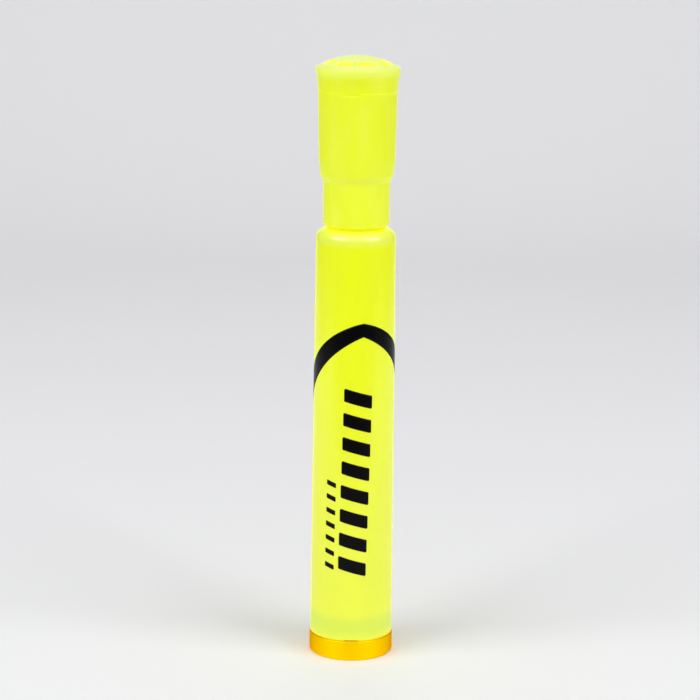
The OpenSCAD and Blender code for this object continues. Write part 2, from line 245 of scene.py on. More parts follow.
# Painted sheen, stronger, on the dome's upward faces.
on_top = add(tree, "ShaderNodeMapRange", {"Value": level, "From Min": 119.1 * mm, "From Max": 119.5 * mm},
             interpolation_type="SMOOTHSTEP").outputs[0]
facing = add(tree, "ShaderNodeNewGeometry").outputs["Normal"]
facing_up = add(tree, "ShaderNodeSeparateXYZ", {0: facing}).outputs["Z"]
upward = add(tree, "ShaderNodeMath", {0: on_top, 1: facing_up}, operation="MULTIPLY",
             use_clamp=True).outputs[0]
top_painted_sheen = add(tree, "ShaderNodeMix", {0: upward, MIX_A: rim_painted_sheen.outputs[MIX_RESULT],
                                    MIX_B: linear("#B8CA82")}, data_type="RGBA")
tree.links.new(top_painted_sheen.outputs[MIX_RESULT], shader.inputs["Base Color"])
print("the cap's plastic has", len(tree.nodes), "nodes")

# %% [markdown]
# ## Gold-anodised aluminium
# The ring is turned from aluminium, brushed fine and anodised in a gold dye. Turning leaves lines
# round the ring, so the grain is noise that is stretched hugely across the height: it changes fast
# going up the ring and slowly going round it. Such lines also smear each highlight, which is what
# the shader's anisotropy does along a tangent that runs round the axis. A metal's colour is its
# reflection, so the dye is the base colour of a metallic shader. A little gold emission is a painted
# glow, which keeps the ring from going dark where it mirrors a dark part of the room.

# %% Gold anodising
line_size = 0.625           # mm, before the stretch makes it 0.07 mm up the ring
line_stretch = (0.05, 0.05, 9)

gold_anodising, tree, shader, place = new_finish(
    "gold_anodising", Metallic=1.0, Roughness=0.45, Anisotropic=0.7, Anisotropic_Rotation=0.25,
    Emission_Strength=0.2)
# A painted glow in gold, which lifts the ring where it mirrors dark.
shader.inputs["Emission Color"].default_value = linear("#FFC400")
shader.inputs["Specular Tint"].default_value = linear("#F0A000")
round_it = add(tree, "ShaderNodeTangent", direction_type="RADIAL", axis="Z").outputs[0]
tree.links.new(round_it, shader.inputs["Tangent"])
turned = add(tree, "ShaderNodeMapping", {"Vector": place, "Scale": line_stretch}).outputs[0]
lines = add(tree, "ShaderNodeTexNoise", {"Vector": turned, "Scale": 1 / line_size,
                                         "Detail": 3.0}).outputs[0]
dye = add(tree, "ShaderNodeMix", {0: lines, MIX_A: linear("#FFCE00"), MIX_B: linear("#FFDA00")},
          data_type="RGBA")
tree.links.new(dye.outputs[MIX_RESULT], shader.inputs["Base Color"])
grain = add(tree, "ShaderNodeBump", {"Height": lines, "Strength": 0.3, "Distance": 0.01 * mm})
tree.links.new(grain.outputs[0], shader.inputs["Normal"])
print(gold_anodising.name, "has", len(tree.nodes), "nodes")

# %% [markdown]
# ## Screen-printing ink
# The band and the marks are one pull of black screen ink, about a third as thick as a hair. It dries
# glossy and a little uneven, with the weave of the screen left in its skin. Black plastic would be a
# simpler shader, but the patches break up the mirror image in it as they do on a real print.

# %% Black ink
patch_size = 1.667          # mm, thicker and thinner patches of the pull
weave_size = 0.143          # mm, one thread of the screen

screen_ink, tree, shader, place = new_finish("screen_ink", Roughness=0.3, IOR=1.5,
                                             Specular_IOR_Level=0.12)
pull = add(tree, "ShaderNodeTexNoise", {"Vector": place, "Scale": 1 / patch_size,
                                        "Detail": 2.0}).outputs[0]
black = add(tree, "ShaderNodeMix", {0: pull, MIX_A: linear("#000000"), MIX_B: linear("#030303")},
            data_type="RGBA")
tree.links.new(black.outputs[MIX_RESULT], shader.inputs["Base Color"])
weave = add(tree, "ShaderNodeTexNoise", {"Vector": place, "Scale": 1 / weave_size,
                                         "Detail": 1.0}).outputs[0]
skin = add(tree, "ShaderNodeBump", {"Height": weave, "Strength": 0.15, "Distance": 0.01 * mm})
tree.links.new(skin.outputs[0], shader.inputs["Normal"])
print(screen_ink.name, "has", len(tree.nodes), "nodes")

# %% [markdown]
# ## The plain finishes of the works
# Inside are natural acetal mouldings, clear film, rubber, spring steel and felt. Each differs in
# colour, shine and the grain of its surface, so a table of those facts makes them all. Grain is the
# size of the surface's bumps in millimetres.

# %% Working materials
plain_finishes = {
    # name: dark colour, light colour, roughness, metallic, grain across, grain depth
    "natural_acetal": ("#E2DFD0", "#F1EEE2", 0.45, 0, 0.8, 0.02),
    "clear_film": ("#E9EBAE", "#F5F6CE", 0.2, 0, 1.5, 0.01),
    "nitrile_rubber": ("#0E0E10", "#1A1A1C", 0.6, 0, 0.4, 0.02),
    "foam_rubber": ("#1B1B1D", "#2C2C2F", 0.85, 0, 0.25, 0.08),
    "spring_steel": ("#B4B6BA", "#DADCDF", 0.25, 1, 0.5, 0.005),
    "bonded_felt": ("#DCE800", "#F0F82E", 0.9, 0, 0.18, 0.06),
    "inked_fibre": ("#CFDC00", "#EEF64A", 0.85, 0, 0.12, 0.05),
}
finishes = {}
for name, (dark, light, roughness, metallic, grain_size, depth) in plain_finishes.items():
    finishes[name], tree, shader, place = new_finish(name, Roughness=roughness, Metallic=float(metallic))
    specks = add(tree, "ShaderNodeTexNoise", {"Vector": place, "Scale": 1 / grain_size,
                                              "Detail": 3.0}).outputs[0]
    tint = add(tree, "ShaderNodeMix", {0: specks, MIX_A: linear(dark), MIX_B: linear(light)},
               data_type="RGBA")
    tree.links.new(tint.outputs[MIX_RESULT], shader.inputs["Base Color"])
    bumps = add(tree, "ShaderNodeBump", {"Height": specks, "Strength": 0.4, "Distance": depth * mm})
    tree.links.new(bumps.outputs[0], shader.inputs["Normal"])

node_finish = {
    "barrel_tube": polished_polypropylene, "nose_cone": deep_painted_glow_polypropylene,
    "cap_shell": satin_polypropylene, "cap_crown": satin_polypropylene,
    "cap_liner": deep_painted_glow_polypropylene,
    "turning_ring": gold_anodising, "base_pad": finishes["foam_rubber"],
    "drag_washer": finishes["foam_rubber"], "return_spring": finishes["spring_steel"],
    "hub_clip": finishes["spring_steel"], "nib_retainer": finishes["spring_steel"],
    "cartridge_tube": finishes["clear_film"], "reservoir_film": finishes["clear_film"],
    "ink_reservoir": finishes["inked_fibre"], "nib": finishes["bonded_felt"],
    "nose_seal": finishes["nitrile_rubber"], "drag_o_ring": finishes["nitrile_rubber"],
    "holder_seal": finishes["nitrile_rubber"],
}
for node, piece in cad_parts.items():
    piece.data.materials.clear()
    piece.data.materials.append(node_finish.get(node, finishes["natural_acetal"]))
print("finishes on", len(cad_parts), "CAD nodes")

# %% [markdown]
# ## Turning a shape from its outline
# Barrel, ring, cap and nose are all round, so each is half an outline spun about the axis, as on a
# lathe. What makes a moulding look real is that no corner is sharp, so each corner of an outline
# has a radius, and an arc that touches both of its sides replaces it. A narrow strip beside each arc
# keeps the smooth shading of the round from creeping across the flat next to it.

# %% Lathe helpers
segments = 192              # facets round a turned piece
arc_steps = 6               # facets across a rounded corner
strip = 0.06                # width in mm of the strip beside an arc


def rounded(corners):
    """Outline in mm from a closed ring of corners, each (radius, height, round)."""
    points = []
    for i, (x, z, size) in enumerate(corners):
        here = Vector((x, z))
        back = (Vector(corners[i - 1][:2]) - here).normalized()
        ahead = (Vector(corners[(i + 1) % len(corners)][:2]) - here).normalized()
        half = back.angle(ahead) / 2
        reach = size / math.tan(half)
        centre = here + (back + ahead).normalized() * size / math.sin(half)
        start = (here + back * reach - centre).normalized()
        end = (here + ahead * reach - centre).normalized()
        points.append(here + back * (reach + strip))
        for step in range(arc_steps + 1):
            points.append(centre + start.slerp(end, step / arc_steps, start) * size)
        points.append(here + ahead * (reach + strip))
    return points


def link(name, mesh, material):
    """A new piece at the origin, with smooth faces that point outwards."""
    work = bmesh.new()
    work.from_mesh(mesh)
    bmesh.ops.remove_doubles(work, verts=work.verts, dist=0.0005 * mm)
    bmesh.ops.recalc_face_normals(work, faces=work.faces)
    for face in work.faces:
        face.smooth = True
    work.to_mesh(mesh)
    work.free()
    mesh.materials.clear()
    mesh.materials.append(material)
    piece = bpy.data.objects.new(name, mesh)
    scene.collection.objects.link(piece)
    return piece


def lathe(name, outline, material, dent=None):
    """Spins a closed outline in mm about Z. dent may move a point, given its radius, height and angle."""
    verts = []
    for x, z in outline:
        for k in range(segments):
            angle = 2 * math.pi * k / segments
            radius, height = dent(x, z, angle) if dent else (x, z)
            verts.append((radius * mm * math.sin(angle), -radius * mm * math.cos(angle), height * mm))
    faces = []
    for i in range(len(outline)):
        for k in range(segments):
            a, b = i * segments, (i + 1) % len(outline) * segments
            right = (k + 1) % segments
            faces.append((a + k, b + k, b + right, a + right))
    mesh = bpy.data.meshes.new(name)
    mesh.from_pydata(verts, [], faces)
    piece = link(name, mesh, material)
    print(name, len(faces), "faces")
    return piece


def box_mm(node):
    """Half width, bottom and top of a CAD node in mm."""
    low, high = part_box(node)
    return high.x / mm, low.z / mm, high.z / mm


def near_front(angle, turn, half_width, edge):
    """1 inside a stretch of the circle centred on turn, 0 outside it, with soft ends."""
    off = abs((angle - turn + math.pi) % (2 * math.pi) - math.pi)
    return max(0.0, min(1.0, (half_width + edge - off) / edge))


# %% [markdown]
# ## The barrel
# The barrel's radius tapers by 0.45 mm from its tail to its shoulder, which lets it leave the mould,
# and the shoulder is one round of 2.1 mm. A small witness notch in its tail edge faces front. A cone
# with a bevel would give the outside, but a spun outline also gives the bore and its steps at once.

# %% Barrel
tail_radius, tail_z, shoulder_z = box_mm("barrel_tube")
shoulder_radius = tail_radius - 0.45
notch_depth = 0.16


def tail_notch(radius, height, angle):
    """Lifts the tail edge over a short stretch at the front."""
    deep = near_front(angle, 0.0, 0.15, 0.05) * (height < tail_z + 0.3) * (radius > 7.6)
    return radius, height + notch_depth * deep


barrel = lathe("barrel", rounded([
    (7.22, tail_z, 0.05), (tail_radius, tail_z, 0.2), (shoulder_radius, shoulder_z, 2.1),
    (5.62, shoulder_z, 0.12), (5.62, shoulder_z - 2.9, 0.1), (6.82, shoulder_z - 3.6, 0.2),
    (6.82, 11.6, 0.05), (7.22, 11.6, 0.05)]), polished_polypropylene, tail_notch)
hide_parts("barrel_tube")
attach(barrel, "barrel")

# %% [markdown]
# ## The nose
# The cap hides the nose, all but the collar that shows as a deep yellow line in the gap, lit there
# by the painted glow of its plastic. The cap's skirt snaps over the bead, and the step above it is
# where the cap's liner seals. The outline goes up the outside and comes back down the bore, with the
# groove that holds the seal.

# %% Nose
_, nose_foot, mouth_z = box_mm("nose_cone")
collar_z = shoulder_z + 0.35
bead_z = shoulder_z + 5.2
seat_z = mouth_z - 8
nose = lathe("nose", rounded([
    (4.6, nose_foot, 0.1), (5.3, nose_foot, 0.1), (5.98, nose_foot + 0.7, 0.1),
    (5.98, shoulder_z - 3.7, 0.1), (5.58, shoulder_z - 3.2, 0.1), (5.58, shoulder_z, 0.02),
    (5.85, shoulder_z, 0.05), (5.85, collar_z, 0.08), (5.45, collar_z, 0.08),
    (5.45, bead_z - 0.6, 0.15), (5.7, bead_z - 0.15, 0.12), (5.7, bead_z + 0.15, 0.12),
    (5.45, bead_z + 0.6, 0.15), (5.45, seat_z - 0.4, 0.15), (4.95, seat_z, 0.15),
    (4.95, seat_z + 2.4, 0.8), (4.5, mouth_z, 0.35), (3.9, mouth_z, 0.1),
    (3.75, mouth_z - 0.3, 0.05), (3.75, mouth_z - 2.6, 0.05), (4.3, mouth_z - 2.6, 0.05),
    (4.3, mouth_z - 3.4, 0.05), (3.75, mouth_z - 3.4, 0.05), (3.75, mouth_z - 13, 0.05),
    (4.6, mouth_z - 13, 0.05)]), deep_painted_glow_polypropylene)
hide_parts("nose_cone")
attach(nose, "barrel")

# %% [markdown]
# ## The turning ring
# The gold ring is a turned cup rim with a round at its foot and a crisper one at its top edge, which
# catches the light along the seam. Real turning lines are far too fine to model, so the outline is
# six corners, and the finish does the rest.

# %% Gold ring
ring_radius, _, ring_top = box_mm("turning_ring")
gold_ring = lathe("gold_ring", rounded([
    (6.6, 0.0, 0.05), (ring_radius, 0.0, 0.35), (ring_radius, ring_top, 0.14), (7.61, ring_top, 0.1),
    (7.61, 0.7, 0.03), (6.6, 0.7, 0.05)]), gold_anodising)
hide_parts("turning_ring")
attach(gold_ring, "ring")

# %% [markdown]
# ## The cap's shell
# The skirt is straight, a short soft slope leads out to the grip, and the grip flares all the way up
# to the crown. Four shallow notches under the crown take a pry tool. They are pressed into the top
# edge by moving its points in, which a lathe shape allows because its points lie in columns.

# %% Cap shell
_, lip_z, crown_seam = box_mm("cap_shell")
step_z = lip_z + 8.7
pry_turn = math.radians(-9)
pry_depth, pry_height = 0.2, 0.47


def pry_notches(radius, height, angle):
    """Presses four short stretches of the shell's top edge in."""
    quarter = (angle - pry_turn + math.pi / 4) % (math.pi / 2) - math.pi / 4
    deep = near_front(quarter, 0.0, 0.17, 0.05) * (height > crown_seam - pry_height) * (radius > 7.2)
    return radius - pry_depth * deep, height


cap_shell = lathe("cap_grip", rounded([
    (5.9, lip_z, 0.05), (6.56, lip_z, 0.32), (6.66, step_z, 0.6), (7.27, step_z + 1.4, 0.7),
    (7.55, step_z + 4.4, 2.5), (7.79, crown_seam - 0.54, 0.03), (7.79, crown_seam - 0.4, 0.03),
    (7.8, crown_seam, 0.06), (6.45, crown_seam, 0.05),
    (6.45, step_z + 1.5, 0.2), (5.75, step_z + 0.1, 0.2), (5.75, lip_z + 0.2, 0.05)]),
    satin_polypropylene, pry_notches)
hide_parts("cap_shell")
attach(cap_shell, "cap")

# %% [markdown]
# ## The vented crown
# The crown is a disc on top of a flared ring, with eight ribs across the air gap between them. The
# vents keep a swallowed cap from blocking a throat. The ribs repeat and follow the dome, so Geometry
# Nodes make them: one rib is a rectangle swept along an arc of the dome, and it is then
# placed on as many points as there are ribs, each turned a step further.

# %% Crown ring and disc
crown_radius, spigot_z, apex_z = box_mm("cap_crown")
dome_radius = 15.8
rim_z = apex_z - 2.7
wall = 1.2
vent_inner, vent_outer = 5.1, 6.8


def dome(radius, depth=0.0):
    """Height in mm of the dome's surface, or of one that lies depth under it."""
    return apex_z - dome_radius + math.sqrt((dome_radius - depth) ** 2 - radius ** 2)


crown_ring = lathe("crown_ring", rounded([
    (5.9, spigot_z, 0.1), (6.2, spigot_z, 0.1), (6.42, spigot_z + 0.3, 0.1), (6.42, crown_seam, 0.02),
    (crown_radius - 0.54, crown_seam, 0.07), (crown_radius - 0.42, crown_seam + 1.7, 0.8),
    (crown_radius, rim_z, 0.3), (crown_radius - 0.06, dome(8.1) - 0.06, 0.16),
    (7.7, dome(7.7), 0.4), (vent_outer, dome(vent_outer), 0.14), (vent_outer, crown_seam + 1, 0.1),
    (5.9, crown_seam + 0.2, 0.1)]), satin_polypropylene)

rim_steps = [vent_inner * k / 12 for k in range(1, 12)]
top_curve = [Vector((r, dome(r))) for r in rim_steps]
disc_edge = rounded([(vent_inner, dome(vent_inner, wall), 0.14), (vent_inner, dome(vent_inner), 0.14),
                     (0.2, apex_z, 0.01), (0.2, apex_z - wall, 0.01)])[:2 * (arc_steps + 3)]
under_curve = [Vector((r, dome(r, wall))) for r in rim_steps]
on_axis = [Vector((0, apex_z)), Vector((0, apex_z - wall))]
disc_outline = disc_edge + top_curve[-2::-1] + on_axis + under_curve[:-1]
crown_disc = lathe("crown_disc", disc_outline, satin_polypropylene)

# %% [markdown]
# ## Helpers for Geometry Nodes
# A geometry tree is a recipe with named sizes, so that one change of a size redraws the piece. Two
# helpers serve every tree. The first makes the tree with an input for each size. The second runs it
# on an empty host and keeps the result as a plain mesh, since the modifier isn't needed after that.

# %% Geometry Nodes helpers
def new_tree(name, sizes):
    """A geometry tree with a named input for each size, and its input and output nodes."""
    tree = bpy.data.node_groups.new(name, "GeometryNodeTree")
    tree.interface.new_socket("Geometry", in_out="OUTPUT", socket_type="NodeSocketGeometry")
    for size, value in sizes.items():
        kind = "NodeSocketInt" if isinstance(value, int) else "NodeSocketFloat"
        tree.interface.new_socket(size, in_out="INPUT", socket_type=kind).default_value = value
    return tree, tree.nodes.new("NodeGroupInput").outputs, tree.nodes.new("NodeGroupOutput").inputs[0]


def made_by(tree, name, sizes, material):
    """Runs a geometry tree with these sizes and keeps the result as a plain mesh."""
    host = bpy.data.objects.new(name + "_host", bpy.data.meshes.new(name + "_host"))
    scene.collection.objects.link(host)
    modifier = host.modifiers.new("nodes", "NODES")
    modifier.node_group = tree
    for socket in tree.interface.items_tree:
        if socket.in_out == "INPUT":
            modifier[socket.identifier] = sizes[socket.name]
    evaluated = host.evaluated_get(bpy.context.evaluated_depsgraph_get())
    mesh = bpy.data.meshes.new_from_object(evaluated)
    bpy.data.objects.remove(host)
    piece = link(name, mesh, material)
    print(name, len(mesh.polygons), "faces")
    return piece


# %% [markdown]
# ## The crown's ribs
# Eight ribs join the disc to the ring, so that air can pass between them. Each could be cut from the
# dome with booleans, but a swept section needs no clean-up. A straight line is
# resampled and each of its points is lifted onto the dome, by the height that a sphere has there.

# %% Crown ribs
rib_sizes = {"Count": 8, "Inner radius": (vent_inner - 0.25) * mm,
             "Outer radius": (vent_outer + 0.25) * mm,
             "Width": 0.8 * mm, "Thickness": (wall - 0.02) * mm, "Dome radius": dome_radius * mm,
             "Dome top": apex_z * mm, "Turn": math.radians(-4)}
tree, size, result = new_tree("crown_ribs", rib_sizes)
inner_end = add(tree, "ShaderNodeCombineXYZ", {"X": size["Inner radius"]}).outputs[0]
outer_end = add(tree, "ShaderNodeCombineXYZ", {"X": size["Outer radius"]}).outputs[0]
straight = add(tree, "GeometryNodeCurvePrimitiveLine", {"Start": inner_end, "End": outer_end}).outputs[0]
line = add(tree, "GeometryNodeResampleCurve", {"Curve": straight, "Count": 10}).outputs[0]
spot = add(tree, "GeometryNodeInputPosition").outputs[0]
across = add(tree, "ShaderNodeSeparateXYZ", {0: spot}).outputs["X"]
across_2 = add(tree, "ShaderNodeMath", {0: across, 1: across}, operation="MULTIPLY").outputs[0]
dome_2 = add(tree, "ShaderNodeMath", {0: size["Dome radius"], 1: size["Dome radius"]},
             operation="MULTIPLY").outputs[0]
rise_2 = add(tree, "ShaderNodeMath", {0: dome_2, 1: across_2}, operation="SUBTRACT").outputs[0]
rise = add(tree, "ShaderNodeMath", {0: rise_2, 1: 0.5}, operation="POWER").outputs[0]
centre = add(tree, "ShaderNodeMath", {0: size["Dome top"], 1: size["Dome radius"]},
             operation="SUBTRACT").outputs[0]
height = add(tree, "ShaderNodeMath", {0: centre, 1: rise}, operation="ADD").outputs[0]
lift = add(tree, "ShaderNodeCombineXYZ", {"Z": height}).outputs[0]
arched = add(tree, "GeometryNodeSetPosition", {"Geometry": line, "Offset": lift}).outputs[0]
upright = add(tree, "GeometryNodeSetCurveNormal", {"Curve": arched}, mode="Z_UP").outputs[0]
section = add(tree, "GeometryNodeCurvePrimitiveQuadrilateral",
              {"Width": size["Width"], "Height": size["Thickness"]}).outputs[0]
half_down = add(tree, "ShaderNodeMath", {0: size["Thickness"], 1: 0.5}, operation="MULTIPLY").outputs[0]
drop = add(tree, "ShaderNodeCombineXYZ", {"Y": half_down}).outputs[0]
hung = add(tree, "GeometryNodeTransform", {"Geometry": section, "Translation": drop}).outputs[0]
rib = add(tree, "GeometryNodeCurveToMesh", {"Curve": upright, "Profile Curve": hung,
                                            "Fill Caps": True}).outputs[0]
places = add(tree, "GeometryNodePoints", {"Count": size["Count"]}).outputs[0]
pitch = add(tree, "ShaderNodeMath", {0: 2 * math.pi, 1: size["Count"]}, operation="DIVIDE").outputs[0]
index = add(tree, "GeometryNodeInputIndex").outputs[0]
angle = add(tree, "ShaderNodeMath", {0: index, 1: pitch, 2: size["Turn"]},
            operation="MULTIPLY_ADD").outputs[0]
turn = add(tree, "ShaderNodeCombineXYZ", {"Z": angle}).outputs[0]
ribs = add(tree, "GeometryNodeInstanceOnPoints", {"Points": places, "Instance": rib,
                                                  "Rotation": turn}).outputs[0]
solid = add(tree, "GeometryNodeRealizeInstances", {"Geometry": ribs}).outputs[0]
dressed = add(tree, "GeometryNodeSetMaterial", {"Geometry": solid,
                                                "Material": satin_polypropylene}).outputs[0]
tree.links.new(dressed, result)
crown_ribs = made_by(tree, "crown_ribs", rib_sizes, satin_polypropylene)

for part in (crown_ring, crown_disc, crown_ribs):
    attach(part, "cap")
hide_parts("cap_crown")

# %% [markdown]
# ## Printing on the barrel
# Printed ink is a film about 0.02 mm thick, wrapped on a taper. Both prints are drawn flat first,
# with X as the distance round the barrel, Z as the height and the print's thickness along Y. One
# node group then thickens a flat drawing and wraps it: the angle is the distance over the radius,
# and the radius follows the taper. The band and the marks both use that group.

# %% Node group that wraps a drawing on the barrel
film = 0.02
print_sizes = {"Foot radius": tail_radius * mm, "Top radius": shoulder_radius * mm,
               "Foot height": tail_z * mm, "Top height": shoulder_z * mm, "Film": film * mm}
wrap = bpy.data.node_groups.new("wrap_on_barrel", "GeometryNodeTree")
wrap.interface.new_socket("Geometry", in_out="INPUT", socket_type="NodeSocketGeometry")
for name in print_sizes:
    wrap.interface.new_socket(name, in_out="INPUT", socket_type="NodeSocketFloat")
wrap.interface.new_socket("Geometry", in_out="OUTPUT", socket_type="NodeSocketGeometry")
drawing = wrap.nodes.new("NodeGroupInput").outputs
outward = add(wrap, "ShaderNodeCombineXYZ", {"Y": drawing["Film"]}).outputs[0]
extruded = add(wrap, "GeometryNodeExtrudeMesh", {"Mesh": drawing["Geometry"], "Offset": outward,
                                                 "Offset Scale": 1.0, "Individual": False}).outputs[0]
underside = add(wrap, "GeometryNodeFlipFaces", {"Mesh": drawing["Geometry"]}).outputs[0]
both = add(wrap, "GeometryNodeJoinGeometry", {0: extruded})
wrap.links.new(underside, both.inputs[0])
closed = add(wrap, "GeometryNodeMergeByDistance", {"Geometry": both.outputs[0],
                                                   "Distance": 0.001 * mm}).outputs[0]
flat = add(wrap, "ShaderNodeSeparateXYZ", {0: add(wrap, "GeometryNodeInputPosition").outputs[0]}).outputs
taper = add(wrap, "ShaderNodeMapRange", {
    "Value": flat["Z"], "From Min": drawing["Foot height"], "From Max": drawing["Top height"],
    "To Min": drawing["Foot radius"], "To Max": drawing["Top radius"]}).outputs[0]
radius = add(wrap, "ShaderNodeMath", {0: taper, 1: flat["Y"]}).outputs[0]
angle = add(wrap, "ShaderNodeMath", {0: flat["X"], 1: taper}, operation="DIVIDE").outputs[0]
sine = add(wrap, "ShaderNodeMath", {0: angle}, operation="SINE").outputs[0]
cosine = add(wrap, "ShaderNodeMath", {0: angle}, operation="COSINE").outputs[0]
right = add(wrap, "ShaderNodeMath", {0: radius, 1: sine}, operation="MULTIPLY").outputs[0]
behind = add(wrap, "ShaderNodeMath", {0: radius, 1: cosine}, operation="MULTIPLY").outputs[0]
front = add(wrap, "ShaderNodeMath", {0: behind, 1: -1.0}, operation="MULTIPLY").outputs[0]
wrapped = add(wrap, "ShaderNodeCombineXYZ", {"X": right, "Y": front, "Z": flat["Z"]}).outputs[0]
moved = add(wrap, "GeometryNodeSetPosition", {"Geometry": closed, "Position": wrapped}).outputs[0]
wrap.links.new(moved, wrap.nodes.new("NodeGroupOutput").inputs[0])


def print_on_barrel(tree, drawing, size, result):
    """Ends a tree by wrapping its flat drawing on the barrel, in ink."""
    on_barrel = add(tree, "GeometryNodeGroup", {"Geometry": drawing}, node_tree=wrap)
    for name in print_sizes:
        tree.links.new(size[name], on_barrel.inputs[name])
    inked = add(tree, "GeometryNodeSetMaterial", {"Geometry": on_barrel.outputs[0],
                                                  "Material": screen_ink})
    tree.links.new(inked.outputs[0], result)


print("wrap group has", len(wrap.nodes), "nodes")

# %% [markdown]
# ## The pointed band
# A black band rises to a point at the front and its two legs sweep down round the sides, growing
# wider as they go. A picture of it could be projected on the barrel, but a mesh keeps a sharp edge at
# any distance. Its two edges follow one rule each: the height falls from the point with the distance
# and with its square. A grid holds the band, and the rule lifts each of its points to its place
# between the lower and the upper edge.

# %% Pointed band
band_sizes = {"Point": 1.77 * mm, "Reach": 19.5 * mm, "Taper": 4.5 * mm, "Lower point": 67.15 * mm,
              "Lower slope": 0.40, "Lower curve": 40.5, "Upper point": 69.9 * mm,
              "Upper slope": 0.178, "Upper curve": 42.3, **print_sizes}
tree, size, result = new_tree("pointed_band", band_sizes)
grid = add(tree, "GeometryNodeMeshGrid", {"Size X": 2.0, "Size Y": 1.0, "Vertices X": 161,
                                          "Vertices Y": 9}).outputs[0]
unit = add(tree, "ShaderNodeSeparateXYZ", {0: add(tree, "GeometryNodeInputPosition").outputs[0]}).outputs
away = add(tree, "ShaderNodeMath", {0: unit["X"], 1: size["Reach"]}, operation="MULTIPLY").outputs[0]
far = add(tree, "ShaderNodeMath", {0: away}, operation="ABSOLUTE").outputs[0]
far_2 = add(tree, "ShaderNodeMath", {0: far, 1: far}, operation="MULTIPLY").outputs[0]
edges = []
for edge in ("Lower", "Upper"):
    slope = add(tree, "ShaderNodeMath", {0: far, 1: size[edge + " slope"]},
                operation="MULTIPLY").outputs[0]
    fall = add(tree, "ShaderNodeMath", {0: far_2, 1: size[edge + " curve"], 2: slope},
               operation="MULTIPLY_ADD").outputs[0]
    edges.append(add(tree, "ShaderNodeMath", {0: size[edge + " point"], 1: fall},
                     operation="SUBTRACT").outputs[0])
taper_from = add(tree, "ShaderNodeMath", {0: size["Reach"], 1: size["Taper"]},
                 operation="SUBTRACT").outputs[0]
full = add(tree, "ShaderNodeMapRange", {"Value": far, "From Min": taper_from, "From Max": size["Reach"],
                                        "To Min": 1.0, "To Max": 0.02},
           interpolation_type="SMOOTHSTEP").outputs[0]
share = add(tree, "ShaderNodeMath", {0: unit["Y"], 1: full, 2: 0.5}, operation="MULTIPLY_ADD").outputs[0]
level = add(tree, "ShaderNodeMix", {0: share, 2: edges[0], 3: edges[1]}, data_type="FLOAT",
            clamp_factor=False).outputs[0]
across = add(tree, "ShaderNodeMath", {0: away, 1: size["Point"]}).outputs[0]
flat_place = add(tree, "ShaderNodeCombineXYZ", {"X": across, "Z": level}).outputs[0]
drawn = add(tree, "GeometryNodeSetPosition", {"Geometry": grid, "Position": flat_place}).outputs[0]
print_on_barrel(tree, drawn, size, result)
band = made_by(tree, "pointed_band", band_sizes, screen_ink)

# %% [markdown]
# ## The printed marks
# Beside the front, two rows of plain marks run down the barrel: slanted bold bars, and short fine
# bars beside them. One tree makes either row. It draws a parallelogram, rounds its corners, fills it
# and divides it finely enough to bend, repeats it up a line of points, and wraps the row.

# %% Rows of marks
row_sizes = {"Count": 8, "Across": 0.05 * mm, "Drift": 0.12 * mm, "Foot": 20.0 * mm,
             "Step": 4.95 * mm, "Width": 5.7 * mm, "Length": 2.7 * mm, "Slant": 1.6 * mm,
             "Corner": 0.3 * mm, **print_sizes}
tree, size, result = new_tree("row_of_marks", row_sizes)
outline = add(tree, "GeometryNodeCurvePrimitiveQuadrilateral", {
    "Width": size["Length"], "Height": size["Width"], "Offset": size["Slant"]},
    mode="PARALLELOGRAM").outputs[0]
soft = add(tree, "GeometryNodeFilletCurve", {"Curve": outline, "Count": 5, "Radius": size["Corner"]},
           mode="POLY").outputs[0]
filled = add(tree, "GeometryNodeFillCurve", {"Curve": soft}).outputs[0]
fine = add(tree, "GeometryNodeSubdivideMesh", {"Mesh": filled, "Level": 3}).outputs[0]
stand = (math.radians(90), math.radians(-90), 0)
stood = add(tree, "GeometryNodeTransform", {"Geometry": fine, "Rotation": stand}).outputs[0]
first = add(tree, "ShaderNodeCombineXYZ", {"X": size["Across"], "Z": size["Foot"]}).outputs[0]
rise = add(tree, "ShaderNodeCombineXYZ", {"X": size["Drift"], "Z": size["Step"]}).outputs[0]
places = add(tree, "GeometryNodeMeshLine", {"Count": size["Count"], "Start Location": first,
                                            "Offset": rise}).outputs[0]
row = add(tree, "GeometryNodeInstanceOnPoints", {"Points": places, "Instance": stood}).outputs[0]
real = add(tree, "GeometryNodeRealizeInstances", {"Geometry": row}).outputs[0]
print_on_barrel(tree, real, size, result)
bold_marks = made_by(tree, "bold_marks", row_sizes, screen_ink)
fine_sizes = {**row_sizes, "Count": 7, "Across": -4.8 * mm, "Drift": 0.05 * mm, "Foot": 19.8 * mm,
              "Step": 2.85 * mm, "Width": 2.1 * mm, "Length": 1.0 * mm, "Slant": 0.6 * mm,
              "Corner": 0.12 * mm}
fine_marks = made_by(tree, "fine_marks", fine_sizes, screen_ink)
for print_piece in (band, bold_marks, fine_marks):
    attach(print_piece, "barrel")

# %% [markdown]
# ## The nib
# The nib is a round felt rod, cut to a wedge with a slanting end. A stack of rings makes it: each
# ring is a circle whose front and back are pressed flat where the wedge has reached it, and the last
# rings lean so that the writing edge slopes. It is soft felt, so every edge is a little round.

# %% Felt nib
nib_radius, nib_foot, nib_tip = box_mm("nib")
wedge_height, edge_half, slope = 4.4, 0.8, 2.4
squareness = 1.6            # how sharply the wedge's flats meet the round
ring_points = 72


